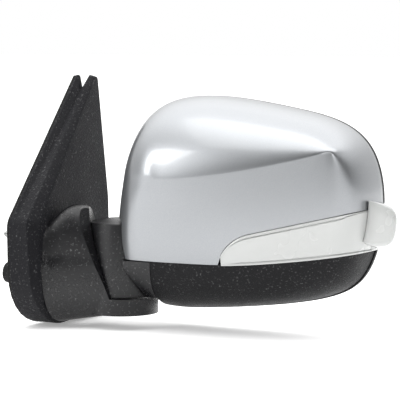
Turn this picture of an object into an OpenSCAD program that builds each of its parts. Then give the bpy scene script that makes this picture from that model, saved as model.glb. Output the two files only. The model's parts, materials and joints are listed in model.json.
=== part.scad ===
// Car door mirror, left side of the vehicle.
// +X points outboard, -Y points to the front of the vehicle, +Z points up.
// The origin lies on the door's mounting plane at the level of the fold pivot's seam.

/* [View] */
// Sub-part to draw, or all of them

/* [Head] */
// Width of the head along X
head_w = 263; // [250:1:275]
// Height of the head along Z
head_h = 214; // [205:1:222]
// Distance from the door to the head's inboard end
head_x = 78; // [78:1:82]
// Height of the head's lowest control line
head_z = -47; // [-49:1:-45]
// Depth of the head from its rear rim to its front
head_d = 86; // [82:1:92]
// Wall of the painted cap and of the lower housing
wall = 2.5; // [2:0.1:2.8]
// Narrow gap between neighbouring outer panels
panel_gap = 0.5; // [0.4:0.1:0.8]
// Step from the painted cap down to the black lower housing
housing_step = 1.6; // [1.2:0.1:2]

/* [Fold pivot] */
// Distance from the door to the fold axis
pivot_x = 84; // [83:1:86]
// Position of the fold axis along the vehicle
pivot_y = -8; // [-10:1:-6]
// Radius of the neck barrel on the head
neck_r = 31; // [29:1:31]
// Height of the neck barrel's top
neck_top = 42; // [38:1:44]
// Height of the seam under the neck barrel
neck_floor = -28; // [-30:1:-27]
// Radius of the pivot post
post_r = 9; // [8:0.5:10]
// Radial running clearance of the post in the neck
post_fit = 0.06; // [0.03:0.01:0.09]

/* [Base] */
// Height of the sail's peak above the origin
sail_top = 179; // [170:1:185]
// Front edge of the sail
sail_front = -84; // [-86:1:-80]
// Rear edge of the sail
sail_rear = 62; // [60:1:64]
// Thickness of the rubber gasket
gasket_t = 3; // [2:0.5:4]
// Thickness of the sail cover at its edge
sail_t = 14; // [12:1:16]
// Width of the bevel along the sail cover's front
bevel_w = 12; // [9:1:14]
// Distance from the origin down to the base's underside
base_drop = 59; // [57:1:61]
// Radius of the mounting studs
stud_r = 3; // [2.5:0.5:4]
// Length of stud that stands out behind the gasket
stud_len = 22; // [16:1:28]

/* [Glass] */
// Thickness of the mirror glass
glass_t = 2.2; // [1.8:0.1:3]
// Spherical radius of the convex glass
glass_radius = 1400; // [1200:50:2000]
// Radius of the adjuster housing
adjuster_r = 40; // [36:1:42]
// Distance of each adjuster jack from the glass pivot
jack_arm = 28; // [26:1:29]

/* [Hidden] */

$fn = 64;
eps = 0.01;
run_gap = 0.35;
far = 400;
no_line = -1;

// Surface of the head: a closed rim in the XZ plane, drawn in to a crease line on the front.
rim_y = 38;
trim_y = 33;
rim_fractions = [
    [0.033, 0.73], [0.008, 0.50], [0.00, 0.26], [0.04, 0.06], [0.19, 0.01], [0.43, 0.035],
    [0.665, 0.07], [0.865, 0.125], [0.955, 0.24], [0.995, 0.43], [1.00, 0.62], [0.955, 0.80],
    [0.83, 0.905], [0.63, 0.95], [0.43, 0.99], [0.24, 1.00], [0.10, 0.94]
];
rim_control = [for (f = rim_fractions) [head_x + f.x * head_w, head_z + f.y * head_h]];
rim_steps = 96;
depth_steps = 8;
strip_steps = 6;
strip_end = 0.003;
glass_steps = 4;
side_low_z = 28;
side_high_z = 69;
side_bulge = 24;
side_steps = 16;
crease_start = head_x + 0.24 * head_w;
crease_end = head_x + 0.90 * head_w;
crease_soft = 16;
crease_z = 89;
crease_rise = 30;
front_sweep = 0.0009;
curve_up = 1.5;
curve_side = 2.6;
curve_down = 3.8;
curve_depth = 2.6;

// Lines that divide the head's outer panels.
split_base_z = 10;
split_rise_x = 195;
lens_tip_x = 206;
lens_tip_len = 30;
lens_slope = 0.235;
lens_line_z = 33;
lens_proud = 1.2;
tip_room = 3;

cup_r = neck_r + 4;
cup_gap = 1;
pad_top = neck_floor - 1;
post_base_z = -40;
press_gap = 0.005;
post_top_z = 30;
pad_drop = base_drop - 14;
barrel_rear_y = 7.5;
well_r = 14.5;
well_floor = neck_floor + 8;
spring_r = 12;
spring_wire = 2.2;
spring_turns = 4;

// Corners of the sail in the YZ plane, with their rounding radii: the cover's rim, the flange
// behind it, the notch between them, and the flat panel, whose bevel narrows towards the peak.
sail_low = -base_drop - 1;
sail_peak = [sail_rear - 8, sail_top + 9];
sail_corners = [
    [sail_front, 45, 16],
    [sail_front + 2, sail_low, 54],
    [sail_rear - 6, sail_low + 7, 18],
    [sail_rear, 60, 40],
    [sail_peak.x, sail_peak.y, 4]
];
flange_corners = [for (i = [0 : 4]) i == 4 ? sail_corners[4] - [10, 0, 0] : sail_corners[i]];
notch_corners = [for (i = [0 : 4]) i == 4 ? sail_corners[4] - [11, 15, 0] : sail_corners[i]];
panel_corners = [
    [sail_front + bevel_w, 41, 10],
    [sail_front + bevel_w, sail_low + 8, 46],
    [sail_rear - 7, sail_low + 11, 16],
    [sail_rear, 60, 40],
    [sail_peak.x, sail_peak.y - 1, 4]
];
corner_steps = 7;
sail_wall = 3;
bevel_depth = 6;
panel_lean = 0.06;
bracket_inset = 17;

// Arm from the sail's panel to the fold pivot, and the slanted plane of its cup's rim.
arm_end_x = pivot_x;
arm_steps = 8;
arm_points = 40;
arm_wall = 4;
arm_power = 2.6;
cup_rim_x = pivot_x - 12;
cup_rim_angle = 68;

stud_spots = [[31, 118], [31, -26], [-53, 30]];
boss_r = 9;
stud_head_r = 5;
stud_head_h = 8;
grommet_spot = [-50, -8];
grommet_r = 13;
grommet_len = 21;
bracket_t = 4;
cover_screw_spots = [[0, 50], [34, 96]];

glass_pivot = [205, 21, 62];
glass_inset = 12;
glass_back_y = 28;
carrier_t = 2.5;
heater_t = 0.8;
layer_gap = 0.12;
carrier_reach = 14;
lug_x = 15;
gimbal_block = [14, 7, 14];
gimbal_pin_len = 36;
adjuster_y = 3;
adjuster_t = 9;
adjuster_motor_r = 5.5;
adjuster_motor_h = 30;
pin_r = 2;
pin_fit = 0.05;
jack_r = 4;
board_spot = [258, -8, 26];
board_size = [34, 1.6, 16];
led_pitch = 10;
led_r = 2;
led_h = 1.4;
jack_back_y = 4;
jack_len = 25.8;
screw_r = 2;
frame_screw_x = [150, 262];
frame_screw_z = [0, 124];
spring_pitch = 7;
motor_r = 11;
motor_h = 36;
clip_z = 6;
case_z = 12;
case_h = 24;
cap_h = 5;
root_rear_y = 3;
dome_r = (pow(neck_r, 2) + pow(cap_h - 1, 2)) / (2 * (cap_h - 1));

function lerp(a, b, k) = a + (b - a) * k;
function clamp(v, lo, hi) = min(max(v, lo), hi);
function soft_above(v, floor_v) = floor_v + crease_soft * ln(1 + exp((v - floor_v) / crease_soft));

// Point on a closed uniform cubic B-spline, with t from 0 to 1.
function spline_point(c, t) =
    let (n = len(c), s = t * n, i = floor(s), f = s - i)
    (
        pow(1 - f, 3) * c[i % n]
        + (3 * pow(f, 3) - 6 * pow(f, 2) + 4) * c[(i + 1) % n]
        + (-3 * pow(f, 3) + 3 * pow(f, 2) + 3 * f + 1) * c[(i + 2) % n]
        + pow(f, 3) * c[(i + 3) % n]
    ) / 6;

// Point on the rim, moved inwards by inset.
function rim_point(t, inset) =
    let (
        p = spline_point(rim_control, t),
        q = spline_point(rim_control, t + 0.001),
        d = (q - p) / norm(q - p)
    )
    p + inset * [-d.y, d.x];

function rim_outline(inset) = [for (i = [0 : rim_steps - 1]) rim_point(i / rim_steps, inset)];

function crease_point(x) =
    let (
        x_low = soft_above(x, crease_start),
        x_mid = -soft_above(-x_low, -crease_end),
        k = max(x_mid - crease_start, 0) / (crease_end - crease_start)
    )
    [x_mid, crease_z + crease_rise * pow(k, 1.6)];

function front_depth(x) = head_d - front_sweep * pow(max(x - 150, 0), 2);

// Point on the head's surface, at the fraction g from the crease to the rim.
function head_point(t, g, inset) =
    let (
        r = rim_point(t, inset),
        c = crease_point(r.x),
        p = curve_power(r, c),
        h = pow(max(1 - pow(g, p), 0), 1 / curve_depth),
        q = lerp(c, r, g)
    )
    [q.x, rim_y - (front_depth(c.x) - inset) * h, q.y];

function curve_power(r, c) =
    let (d = (r - c) / norm(r - c))
    curve_side + (curve_up - curve_side) * pow(max(d.y, 0), 2)
        + (curve_down - curve_side) * pow(max(-d.y, 0), 2);

// Fraction at which the surface reaches the plane Y = y.
function fraction_at_y(t, y) =
    let (r = rim_point(t, 0), c = crease_point(r.x), h = (rim_y - y) / front_depth(c.x))
    pow(1 - pow(h, curve_depth), 1 / curve_power(r, c));

// Fractions found by halving: where the surface drops below a line, and where it leaves the neck's well.
function fraction_at_line(t, line, lo = 0, hi = 1, n = 16) =
    let (mid = (lo + hi) / 2, p = head_point(t, mid, 0))
    n == 0 ? mid
    : p.z > line_z(p.x, line) ? fraction_at_line(t, line, mid, hi, n - 1)
    : fraction_at_line(t, line, lo, mid, n - 1);

function fraction_at_well(t, lo = 0, hi = 1, n = 16) =
    let (mid = (lo + hi) / 2, p = head_point(t, mid, 0))
    n == 0 ? mid
    : in_well(p) ? fraction_at_well(t, lo, mid, n - 1)
    : fraction_at_well(t, mid, hi, n - 1);

function in_well(p) =
    let (k = clamp((p.z - neck_top - 2) / 7, 0, 1))
    norm([p.x - pivot_x, p.y - pivot_y]) < (cup_r + cup_gap) * sqrt(1 - k * k);

// Places along the rim, found by halving: under the head by X, and at its outboard end by height.
function rim_t_at_x(x, lo = 0.14, hi = 0.4, n = 20) =
    let (mid = (lo + hi) / 2)
    n == 0 ? mid
    : spline_point(rim_control, mid).x < x ? rim_t_at_x(x, mid, hi, n - 1)
    : rim_t_at_x(x, lo, mid, n - 1);

function rim_t_at_z(z, lo = 0.3, hi = 0.56, n = 20) =
    let (mid = (lo + hi) / 2)
    n == 0 ? mid
    : spline_point(rim_control, mid).y < z ? rim_t_at_z(z, mid, hi, n - 1)
    : rim_t_at_z(z, lo, mid, n - 1);

function rim_t_at_line(line, lo = 0.3, hi = 0.56, n = 20) =
    let (mid = (lo + hi) / 2, p = spline_point(rim_control, mid))
    n == 0 ? mid
    : p.y < line_z(p.x, line) ? rim_t_at_line(line, mid, hi, n - 1)
    : rim_t_at_line(line, lo, mid, n - 1);

housing_t0 = rim_t_at_x(pivot_x + cup_r + 6);
housing_t1 = rim_t_at_line(0) - strip_end;
lens_t0 = rim_t_at_x(lens_tip_x + 2);
lens_t1 = rim_t_at_line(2) - strip_end;
side_t0 = rim_t_at_z(side_low_z);
side_t1 = rim_t_at_z(side_high_z);

// Lines that divide the panels: 0 is the housing's top edge, 1 the lens's lower edge,
// 2 the lens's upper edge, and 3 the painted cap's lower edge.
function line_z(x, line) =
    line == 0 ? split_z(x) - panel_gap
    : line == 1 ? split_z(x)
    : line == 2 ? lens_top_z(x)
    : lens_top_z(x + tip_room) + panel_gap;

function edge_fraction(t, line, y = trim_y) = min(fraction_at_y(t, y), fraction_at_line(t, line));

function split_z(x) = split_base_z + 15 * pow(max(x - split_rise_x, 0) / 140, 1.5);

function lens_top_z(x) =
    let (
        k = clamp((x - lens_tip_x) / lens_tip_len, 0, 1),
        line_z = lens_line_z + lens_slope * (x - lens_tip_x)
    )
    lerp(split_z(x), line_z, sqrt(1 - pow(1 - k, 2)));

// Closed skin over a stack of rings with the same even number of points.
module loft(rings, closed = false) {
    n = len(rings[0]);
    m = len(rings);
    points = [for (r = rings) for (p = r) p];
    sides = [
        for (j = [0 : (closed ? m - 1 : m - 2)])
            for (i = [0 : n - 1])
                for (k = [0, 1])
                    let (
                        a = j * n + i,
                        b = j * n + (i + 1) % n,
                        c = ((j + 1) % m) * n + (i + 1) % n,
                        d = ((j + 1) % m) * n + i
                    )
                    k == 0 ? [a, b, c] : [a, c, d]
    ];
    first = [for (f = zip_faces(n, 0)) [f.z, f.y, f.x]];
    last = zip_faces(n, (m - 1) * n);
    polyhedron(points, closed ? sides : concat(sides, first, last), convexity = 6);
}

// Triangles that close a long narrow ring from its start to its far end.
function zip_faces(n, start) = [
    for (i = [0 : n / 2 - 2])
        for (k = [0, 1])
            let (a = start + i, b = start + n - 1 - i)
            k == 0 ? [a, a + 1, b] : [a + 1, b - 1, b]
];

// Strip of the head's skin along the rim from t0 to t1, between two dividing lines.
module skin_strip(t0, t1, steps, upper, lower, outer, inner) {
    rings = [
        for (i = [0 : steps])
            let (
                t = lerp(t0, t1, pow(i / steps, 1.4)),
                g0 = edge_fraction(t, upper),
                g1 = lower < 0 ? fraction_at_y(t, trim_y) : edge_fraction(t, lower)
            )
            concat(
                [for (j = [0 : strip_steps]) head_point(t, lerp(g0, g1, j / strip_steps), outer)],
                [for (j = [strip_steps : -1 : 0]) head_point(t, lerp(g0, g1, j / strip_steps), inner)]
            )
    ];
    loft(rings);
}

// A plate outline in the XZ plane, thick along +Y from y.
module slab_xz(y, t) {
    translate([0, y + t, 0])
        rotate([90, 0, 0])
            linear_extrude(t)
                children();
}

module at_pivot(z = 0) {
    translate([pivot_x, pivot_y, z])
        children();
}

// ---- head panels ----

module shell_cap() {
    steps = [for (j = [0 : depth_steps]) 0.06 + 0.94 * (1 - pow(1 - j / depth_steps, 2))];
    layers = concat(
        [for (k = steps) [k, 0]],
        [for (j = [depth_steps : -1 : 0]) [steps[j], wall]]
    );
    edges = [
        for (i = [0 : rim_steps - 1])
            let (t = i / rim_steps)
            min(edge_fraction(t, 3), fraction_at_well(t))
    ];
    color("silver")
        loft([
            for (l = layers)
                [for (i = [0 : rim_steps - 1]) head_point(i / rim_steps, edges[i] * l.x, l.y)]
        ]);
}

module lower_housing() {
    color("#2a2a2c")
        skin_strip(housing_t0, housing_t1, 30, 0, no_line, housing_step, housing_step + wall);
}

// Casting that turns on the pivot post and carries the whole head.
module neck_casting() {
    color("#2a2a2c")
        difference() {
            union() {
                at_pivot(neck_floor) cylinder(h = neck_top - neck_floor, r = neck_r);
                difference() {
                    neck_root();
                    at_pivot(neck_floor - 1) cylinder(h = far, r = cup_r + cup_gap);
                }
                at_pivot(neck_floor)
                    translate([well_r, -8, 0])
                        cube([cup_r + 4 - well_r, root_rear_y - pivot_y + 8, split_base_z - 1 - neck_floor]);
            }
            at_pivot(well_floor) cylinder(h = far, r = well_r);
            at_pivot(neck_floor - 1) cylinder(h = 20, r = post_r + post_fit);
            behind_barrel();
        }
}

// Space kept free for the glass when it is turned: everything behind the barrel's flat rear.
module behind_barrel() {
    translate([0, barrel_rear_y, -far / 2])
        cube([pivot_x + cup_r + 5, far, far]);
}

// Block between the neck barrel and the lower housing, its front level with the housing's skin.
module neck_root() {
    r = rim_point(housing_t0, 0);
    c = crease_point(r.x);
    loft([
        for (i = [0 : strip_steps])
            let (
                z = lerp(neck_floor, split_base_z - 1, i / strip_steps),
                p = head_point(housing_t0, (c.y - z) / (c.y - r.y), housing_step)
            )
            [
                [pivot_x + 8, root_rear_y, z],
                [p.x - panel_gap, root_rear_y, z],
                [p.x - panel_gap, p.y, z],
                [pivot_x + 8, max(p.y, pivot_y - neck_r), z]
            ]
    ]);
}

module glass_bezel() {
    color("#222224")
        loft(
            [
                for (i = [0 : rim_steps - 1])
                    let (t = i / rim_steps, g = fraction_at_y(t, trim_y + panel_gap))
                    [
                        head_point(t, g, 0.6),
                        head_point(t, 1, 0.6),
                        head_point(t, 1, 4.5),
                        head_point(t, g, 4.5)
                    ]
            ],
            closed = true
        );
}

module signal_lens() {
    color("#d5d5d3")
        skin_strip(lens_t0, lens_t1, 34, 2, 1, -lens_proud, 1.2);
}

// End of the lens: a rounded nub that stands out past the head's outboard end.
module side_lens() {
    color("#dcdcda")
        loft([
            for (i = [0 : side_steps])
                let (
                    k = i / side_steps,
                    t = lerp(side_t0, side_t1, k),
                    g1 = fraction_at_y(t, trim_y - 1),
                    g0 = 0.92 * g1,
                    end = pow(1 - pow(abs(2 * k - 1), 3.2), 0.45),
                    out = rim_point(t, -1) - rim_point(t, 0)
                )
                concat(
                    [
                        for (j = [0 : strip_steps])
                            let (v = j / strip_steps, h = side_bulge * end * pow(sin(180 * pow(v, 0.9)), 0.5))
                            head_point(t, lerp(g0, g1, v), -lens_proud - 0.8) + h * [out.x, 0, out.y]
                    ],
                    [
                        for (j = [strip_steps : -1 : 0])
                            head_point(t, lerp(g0, g1, j / strip_steps), -lens_proud - 0.2)
                    ]
                )
        ]);
}

module signal_reflector() {
    color("silver")
        skin_strip(lens_t0 + 0.015, lens_t1 - 0.015, 24, 2, 1, 7, 8);
}

module signal_board() {
    color("#2f6b3a")
        translate(board_spot) cube(board_size);
}

module signal_leds() {
    color("#f2d98a")
        for (i = [0 : 2])
            translate(board_spot + [board_size.x / 2 + led_pitch * (i - 1), 0, board_size.z / 2])
                rotate([90, 0, 0])
                    cylinder(h = led_h, r = led_r);
}

// ---- structure inside the head ----

module head_frame() {
    color("#3a3a3d")
        difference() {
            slab_xz(-1, 4)
                difference() {
                    polygon(rim_outline(18));
                    translate([0, -far / 2]) square([pivot_x + 60, far / 2 + 56]);
                    translate([glass_pivot.x, glass_pivot.z]) circle(r = adjuster_r - 5);
                }
            for (x = frame_screw_x, z = frame_screw_z)
                translate([x, -2, z])
                    rotate([-90, 0, 0])
                        cylinder(h = 6, r = screw_r + 0.2);
        }
}

// Pan-head screw: the head stands on z = 0 and the shank runs down.
module screw(length) {
    difference() {
        cylinder(h = 1.8, r = 1.8 * screw_r);
        translate([0, 0, 0.8]) cylinder(h = 2, r = 0.8 * screw_r, $fn = 6);
    }
    translate([0, 0, -length]) cylinder(h = length + eps, r = screw_r);
}

module frame_screws() {
    color("#b9bcc0")
        for (x = frame_screw_x, z = frame_screw_z)
            translate([x, 3, z])
                rotate([-90, 0, 0])
                    screw(9);
}

// ---- fold drive ----

module ring(outer, inner, h) {
    difference() {
        cylinder(h = h, r = outer);
        translate([0, 0, -1]) cylinder(h = h + 2, r = inner);
    }
}

module pivot_spring() {
    color("#8d9196")
        for (i = [0 : spring_turns - 1])
            at_pivot(well_floor + spring_wire + i * spring_pitch)
                rotate_extrude()
                    translate([spring_r, 0]) circle(r = spring_wire);
}

module fold_gear_case() {
    color("#4a4a4e")
        at_pivot(case_z) ring(well_r - run_gap, post_r + 1, case_h);
}

module gear_case_screws() {
    color("#b9bcc0")
        for (a = [45 : 90 : 315])
            at_pivot(case_z + case_h)
                rotate(a) translate([(well_r + post_r) / 2, 0, 0])
                    cylinder(h = 2, r = 1.7);
}

// Gear motor that stands on the neck casting, beside the barrel.
module fold_motor() {
    color("#9a9da1")
        translate([pivot_x + neck_r + motor_r + 2, pivot_y, split_base_z + 1]) {
            cylinder(h = motor_h, r = motor_r);
            translate([0, 0, motor_h]) cylinder(h = 4, r = 4);
        }
}

// Lid on the neck barrel: a plug and a low domed top.
module neck_cap() {
    color("#2a2a2c")
        difference() {
            at_pivot(neck_top) {
                translate([0, 0, -3]) cylinder(h = 3, r = well_r - 0.2);
                intersection() {
                    cylinder(h = cap_h, r = neck_r);
                    translate([0, 0, cap_h - dome_r]) sphere(r = dome_r, $fn = 128);
                }
            }
            behind_barrel();
        }
}

// ---- glass adjuster ----

module adjuster_housing() {
    color("#3f3f43")
        slab_xz(adjuster_y, adjuster_t)
            difference() {
                translate([glass_pivot.x, glass_pivot.z]) circle(r = adjuster_r);
                for (a = [0, 270])
                    translate([glass_pivot.x, glass_pivot.z])
                        rotate(a) translate([jack_arm, 0]) circle(r = jack_r + run_gap);
            }
    color("#3f3f43")
        for (side = [-1, 1])
            translate([glass_pivot.x + side * lug_x - 2, adjuster_y + adjuster_t, glass_pivot.z - 4])
                difference() {
                    cube([4, 13, 8]);
                    translate([-1, glass_pivot.y - adjuster_y - adjuster_t, 4])
                        rotate([0, 90, 0]) cylinder(h = 6, r = pin_r + pin_fit);
                }
}

module adjuster_motors() {
    color("#9a9da1")
        for (side = [-1, 1])
            translate([glass_pivot.x + side * 13, -4, glass_pivot.z - 16])
                difference() {
                    cylinder(h = adjuster_motor_h, r = adjuster_motor_r);
                    translate([0, 0, -1]) cylinder(h = 2, r = 1.2);
                }
}

module adjuster_screws() {
    color("#b9bcc0")
        for (a = [60 : 120 : 300])
            translate([glass_pivot.x, adjuster_y + adjuster_t, glass_pivot.z])
                rotate([0, -a, 0]) translate([adjuster_r - 6, 0, 0])
                    rotate([-90, 0, 0]) cylinder(h = 1.8, r = 3);
}

module jack() {
    rotate([-90, 0, 0]) {
        cylinder(h = jack_len - 2.5, r = jack_r);
        translate([0, 0, jack_len - 2.5]) sphere(r = 2.5);
    }
}

module tilt_jack() {
    color("#d9d9d6")
        translate([glass_pivot.x, jack_back_y, glass_pivot.z - jack_arm]) jack();
}

module pan_jack() {
    color("#d9d9d6")
        translate([glass_pivot.x + jack_arm, jack_back_y, glass_pivot.z]) jack();
}

// Square cross block with two pins along X for the housing and two along Z for the carrier.
module gimbal_ring() {
    color("#6a6a6e")
        translate(glass_pivot) {
            cube(gimbal_block, center = true);
            rotate([0, 90, 0]) cylinder(h = gimbal_pin_len, r = pin_r, center = true);
            cylinder(h = gimbal_pin_len, r = pin_r, center = true);
        }
}

module glass_carrier() {
    color("#2f2f32") {
        domed_plate(glass_inset, glass_back_y - heater_t - carrier_t - 2 * layer_gap, carrier_t);
        for (side = [-1, 1])
            translate([glass_pivot.x - 4, glass_pivot.y - 4, glass_pivot.z + side * lug_x - 2])
                difference() {
                    cube([8, carrier_reach, 4]);
                    translate([4, 4, -1]) cylinder(h = 6, r = pin_r + pin_fit);
                }
    }
}

module heater_pad() {
    color("#7a4a2a")
        domed_plate(glass_inset, glass_back_y - heater_t - layer_gap, heater_t);
}

// Plate with the rim's outline, bulging to the rear like the convex glass.
module domed_plate(inset, y, t) {
    edge = rim_outline(inset);
    centre = [glass_pivot.x, glass_pivot.z];
    steps = [for (j = [0 : glass_steps]) 0.08 + 0.92 * j / glass_steps];
    layers = concat(
        [for (k = steps) [k, 0]],
        [for (j = [glass_steps : -1 : 0]) [steps[j], t]]
    );
    loft([
        for (l = layers)
            [for (p = edge) let (q = lerp(centre, p, l.x)) [q.x, y + l.y + bulge(q - centre), q.y]]
    ]);
}

function bulge(v) = (pow(0.5 * head_w, 2) - v * v) / (2 * glass_radius);

module mirror_glass() {
    color("#cfd8dc")
        domed_plate(glass_inset, glass_back_y, glass_t);
}

// ---- base ----

// Rounded outline of the sail, moved inwards by inset.
function sail_outline(corners, inset) = [
    for (i = [0 : len(corners) - 1])
        let (
            n = len(corners),
            c = [corners[i].x, corners[i].y],
            before = corners[(i + n - 1) % n],
            after = corners[(i + 1) % n],
            u = unit([before.x, before.y] - c),
            v = unit([after.x, after.y] - c),
            half = acos(u * v) / 2,
            r = max(corners[i].z - inset, 1),
            centre = c + unit(u + v) * (r + inset) / sin(half),
            start = atan2(-u.x * sign(cross(u, v)), u.y * sign(cross(u, v))),
            turn = 180 - 2 * half
        )
        for (j = [0 : corner_steps])
            centre + r * [cos(start + turn * j / corner_steps), sin(start + turn * j / corner_steps)]
];

function unit(v) = v / norm(v);

function ring_at_x(x, outline) = [for (p = outline) [x, p.x, p.y]];

// The panel leans outboard towards its foot.
function panel_x(z) = sail_t + bevel_depth + panel_lean * (sail_top - z);
function leaning_ring(depth, outline) = [for (p = outline) [panel_x(p.y) - depth, p.x, p.y]];

module sail_cover() {
    color("#303033")
        loft([
            leaning_ring(0, sail_outline(panel_corners, 0)),
            leaning_ring(bevel_depth, sail_outline(sail_corners, 0)),
            ring_at_x(gasket_t + 6, sail_outline(notch_corners, 0)),
            ring_at_x(gasket_t + 2, sail_outline(flange_corners, 0)),
            ring_at_x(gasket_t, sail_outline(flange_corners, 0)),
            ring_at_x(gasket_t, sail_outline(flange_corners, sail_wall)),
            ring_at_x(gasket_t + 2, sail_outline(flange_corners, sail_wall)),
            ring_at_x(gasket_t + 6, sail_outline(notch_corners, sail_wall)),
            leaning_ring(bevel_depth + 1, sail_outline(sail_corners, sail_wall)),
            leaning_ring(sail_wall, sail_outline(panel_corners, sail_wall))
        ]);
}

module base_gasket() {
    color("#1c1c1d")
        rotate([90, 0, 90])
            linear_extrude(gasket_t)
                difference() {
                    polygon(sail_outline(flange_corners, 0.6));
                    for (p = stud_spots) translate(p) circle(r = boss_r + 1);
                    translate(grommet_spot) circle(r = grommet_r);
                }
}

// Section of the arm at the share k of its reach, shrunk by inset: a rounded box in the YZ plane.
function arm_section(k, inset) =
    let (
        s = max(k, 0),
        front = lerp(sail_front + bevel_w + 1, pivot_y - cup_r, pow(s, 0.7)),
        rear = lerp(barrel_rear_y, -4, pow(s, 0.4)),
        top = 40 + 20 * sin(20 + 200 * k),
        bottom = lerp(-base_drop + 5, -pad_drop - 1, k)
    )
    [
        for (i = [0 : arm_points - 1])
            let (
                a = 180 - 360 * (i + 0.5) / arm_points,
                e = 2 / arm_power,
                y = (front + rear) / 2 + ((rear - front) / 2 - inset) * sign(cos(a)) * pow(abs(cos(a)), e),
                z = (top + bottom) / 2 + ((top - bottom) / 2 - inset) * sign(sin(a)) * pow(abs(sin(a)), e)
            )
            [lerp(panel_x(z), arm_end_x, k), y, z]
    ];

module arm_loft(inset, k0, k1) {
    loft([for (i = [0 : arm_steps]) arm_section(lerp(k0, k1, i / arm_steps), inset)]);
}

// Everything inboard of a slanted plane, where the cup's rim ends.
module below_cup_rim() {
    translate([cup_rim_x, pivot_y, 28])
        rotate([0, cup_rim_angle, -10])
            translate([-far / 2, -far / 2, -far])
                cube([far, far, far]);
}

module base_arm() {
    color("#29292b") {
        difference() {
            union() {
                intersection() {
                    arm_loft(0, 0, 1);
                    below_cup_rim();
                }
                at_pivot(-pad_drop) cylinder(h = pad_top + pad_drop, r = cup_r);
                cup_wall();
            }
            arm_loft(arm_wall, -0.03, 0.42);
            at_pivot(pad_top) cylinder(h = far, r = neck_r + cup_gap);
            at_pivot(post_base_z) cylinder(h = far, r = post_r + press_gap);
            behind_barrel();
        }
    }
}

// Cup round the neck barrel: its rim runs down towards the front and stops at the arm's rear.
module cup_wall() {
    intersection() {
        at_pivot(pad_top) cylinder(h = neck_top - pad_top - 3, r = cup_r);
        translate([pivot_x - far, pivot_y - far, -far]) cube([far + 16, far + 2, 2 * far]);
        below_cup_rim();
    }
}

module base_bracket() {
    color("#8e9195")
        difference() {
            union() {
                translate([gasket_t, 0, 0])
                    rotate([90, 0, 90])
                        linear_extrude(bracket_t)
                            polygon(sail_outline(flange_corners, bracket_inset));
                for (p = stud_spots)
                    translate([0, p.x, p.y])
                        rotate([0, 90, 0]) cylinder(h = gasket_t + 9, r = boss_r);
            }
            for (p = stud_spots)
                translate([-1, p.x, p.y])
                    rotate([0, 90, 0]) cylinder(h = 1 + stud_head_h, r = stud_head_r);
            for (p = cover_screw_spots)
                translate([0, p.x, p.y])
                    rotate([0, 90, 0]) cylinder(h = 20, r = screw_r);
            translate([0, grommet_spot.x, grommet_spot.y])
                rotate([0, 90, 0]) cylinder(h = 20, r = grommet_r);
        }
}

// Studs pressed into the bracket's bosses by a wider head.
module mounting_studs() {
    color("#c5c8cb")
        for (p = stud_spots)
            translate([0, p.x, p.y])
                rotate([0, 90, 0]) {
                    translate([0, 0, -stud_len]) cylinder(h = stud_len, r = stud_r);
                    cylinder(h = stud_head_h, r = stud_head_r);
                }
}

module wire_grommet() {
    color("#1a1a1b")
        translate([0, grommet_spot.x, grommet_spot.y])
            rotate([0, 90, 0])
                difference() {
                    union() {
                        translate([0, 0, -grommet_len])
                            cylinder(h = grommet_len, r1 = grommet_r - 3, r2 = grommet_r - 0.5);
                        cylinder(h = gasket_t + bracket_t, r = grommet_r);
                        translate([0, 0, gasket_t + bracket_t]) cylinder(h = 2, r = grommet_r + 2);
                    }
                    translate([0, 0, -far / 2]) cylinder(h = far, r = 5);
                }
}

module pivot_post() {
    color("#a9adb1")
        at_pivot(post_base_z) {
            difference() {
                cylinder(h = post_top_z - post_base_z, r = post_r);
                translate([0, 0, -1]) cylinder(h = far, r = post_r - 3);
                translate([0, 0, clip_z - post_base_z]) ring(post_r + 1, post_r - 1, 2);
            }
        }
}

module spring_clip() {
    color("#8d9196")
        at_pivot(clip_z) ring(well_r - 1, post_r - 1, 2);
}

module cover_screws() {
    color("#b9bcc0")
        for (p = cover_screw_spots)
            translate([gasket_t + bracket_t, p.x, p.y])
                rotate([0, 90, 0]) screw(bracket_t);
}

// ---- nodes ----

sail_cover();
base_arm();
base_bracket();
base_gasket();
mounting_studs();
wire_grommet();
pivot_post();
spring_clip();
cover_screws();
shell_cap();
lower_housing();
neck_casting();
neck_cap();
glass_bezel();
head_frame();
frame_screws();
signal_lens();
side_lens();
signal_reflector();
signal_board();
signal_leds();
pivot_spring();
fold_gear_case();
fold_motor();
gear_case_screws();
adjuster_housing();
adjuster_motors();
adjuster_screws();
tilt_jack();
pan_jack();
gimbal_ring();
glass_carrier();
heater_pad();
mirror_glass();
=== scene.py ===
import json
import math

import bmesh
import bpy
import numpy as np
from mathutils import Euler, Matrix, Vector

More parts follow.
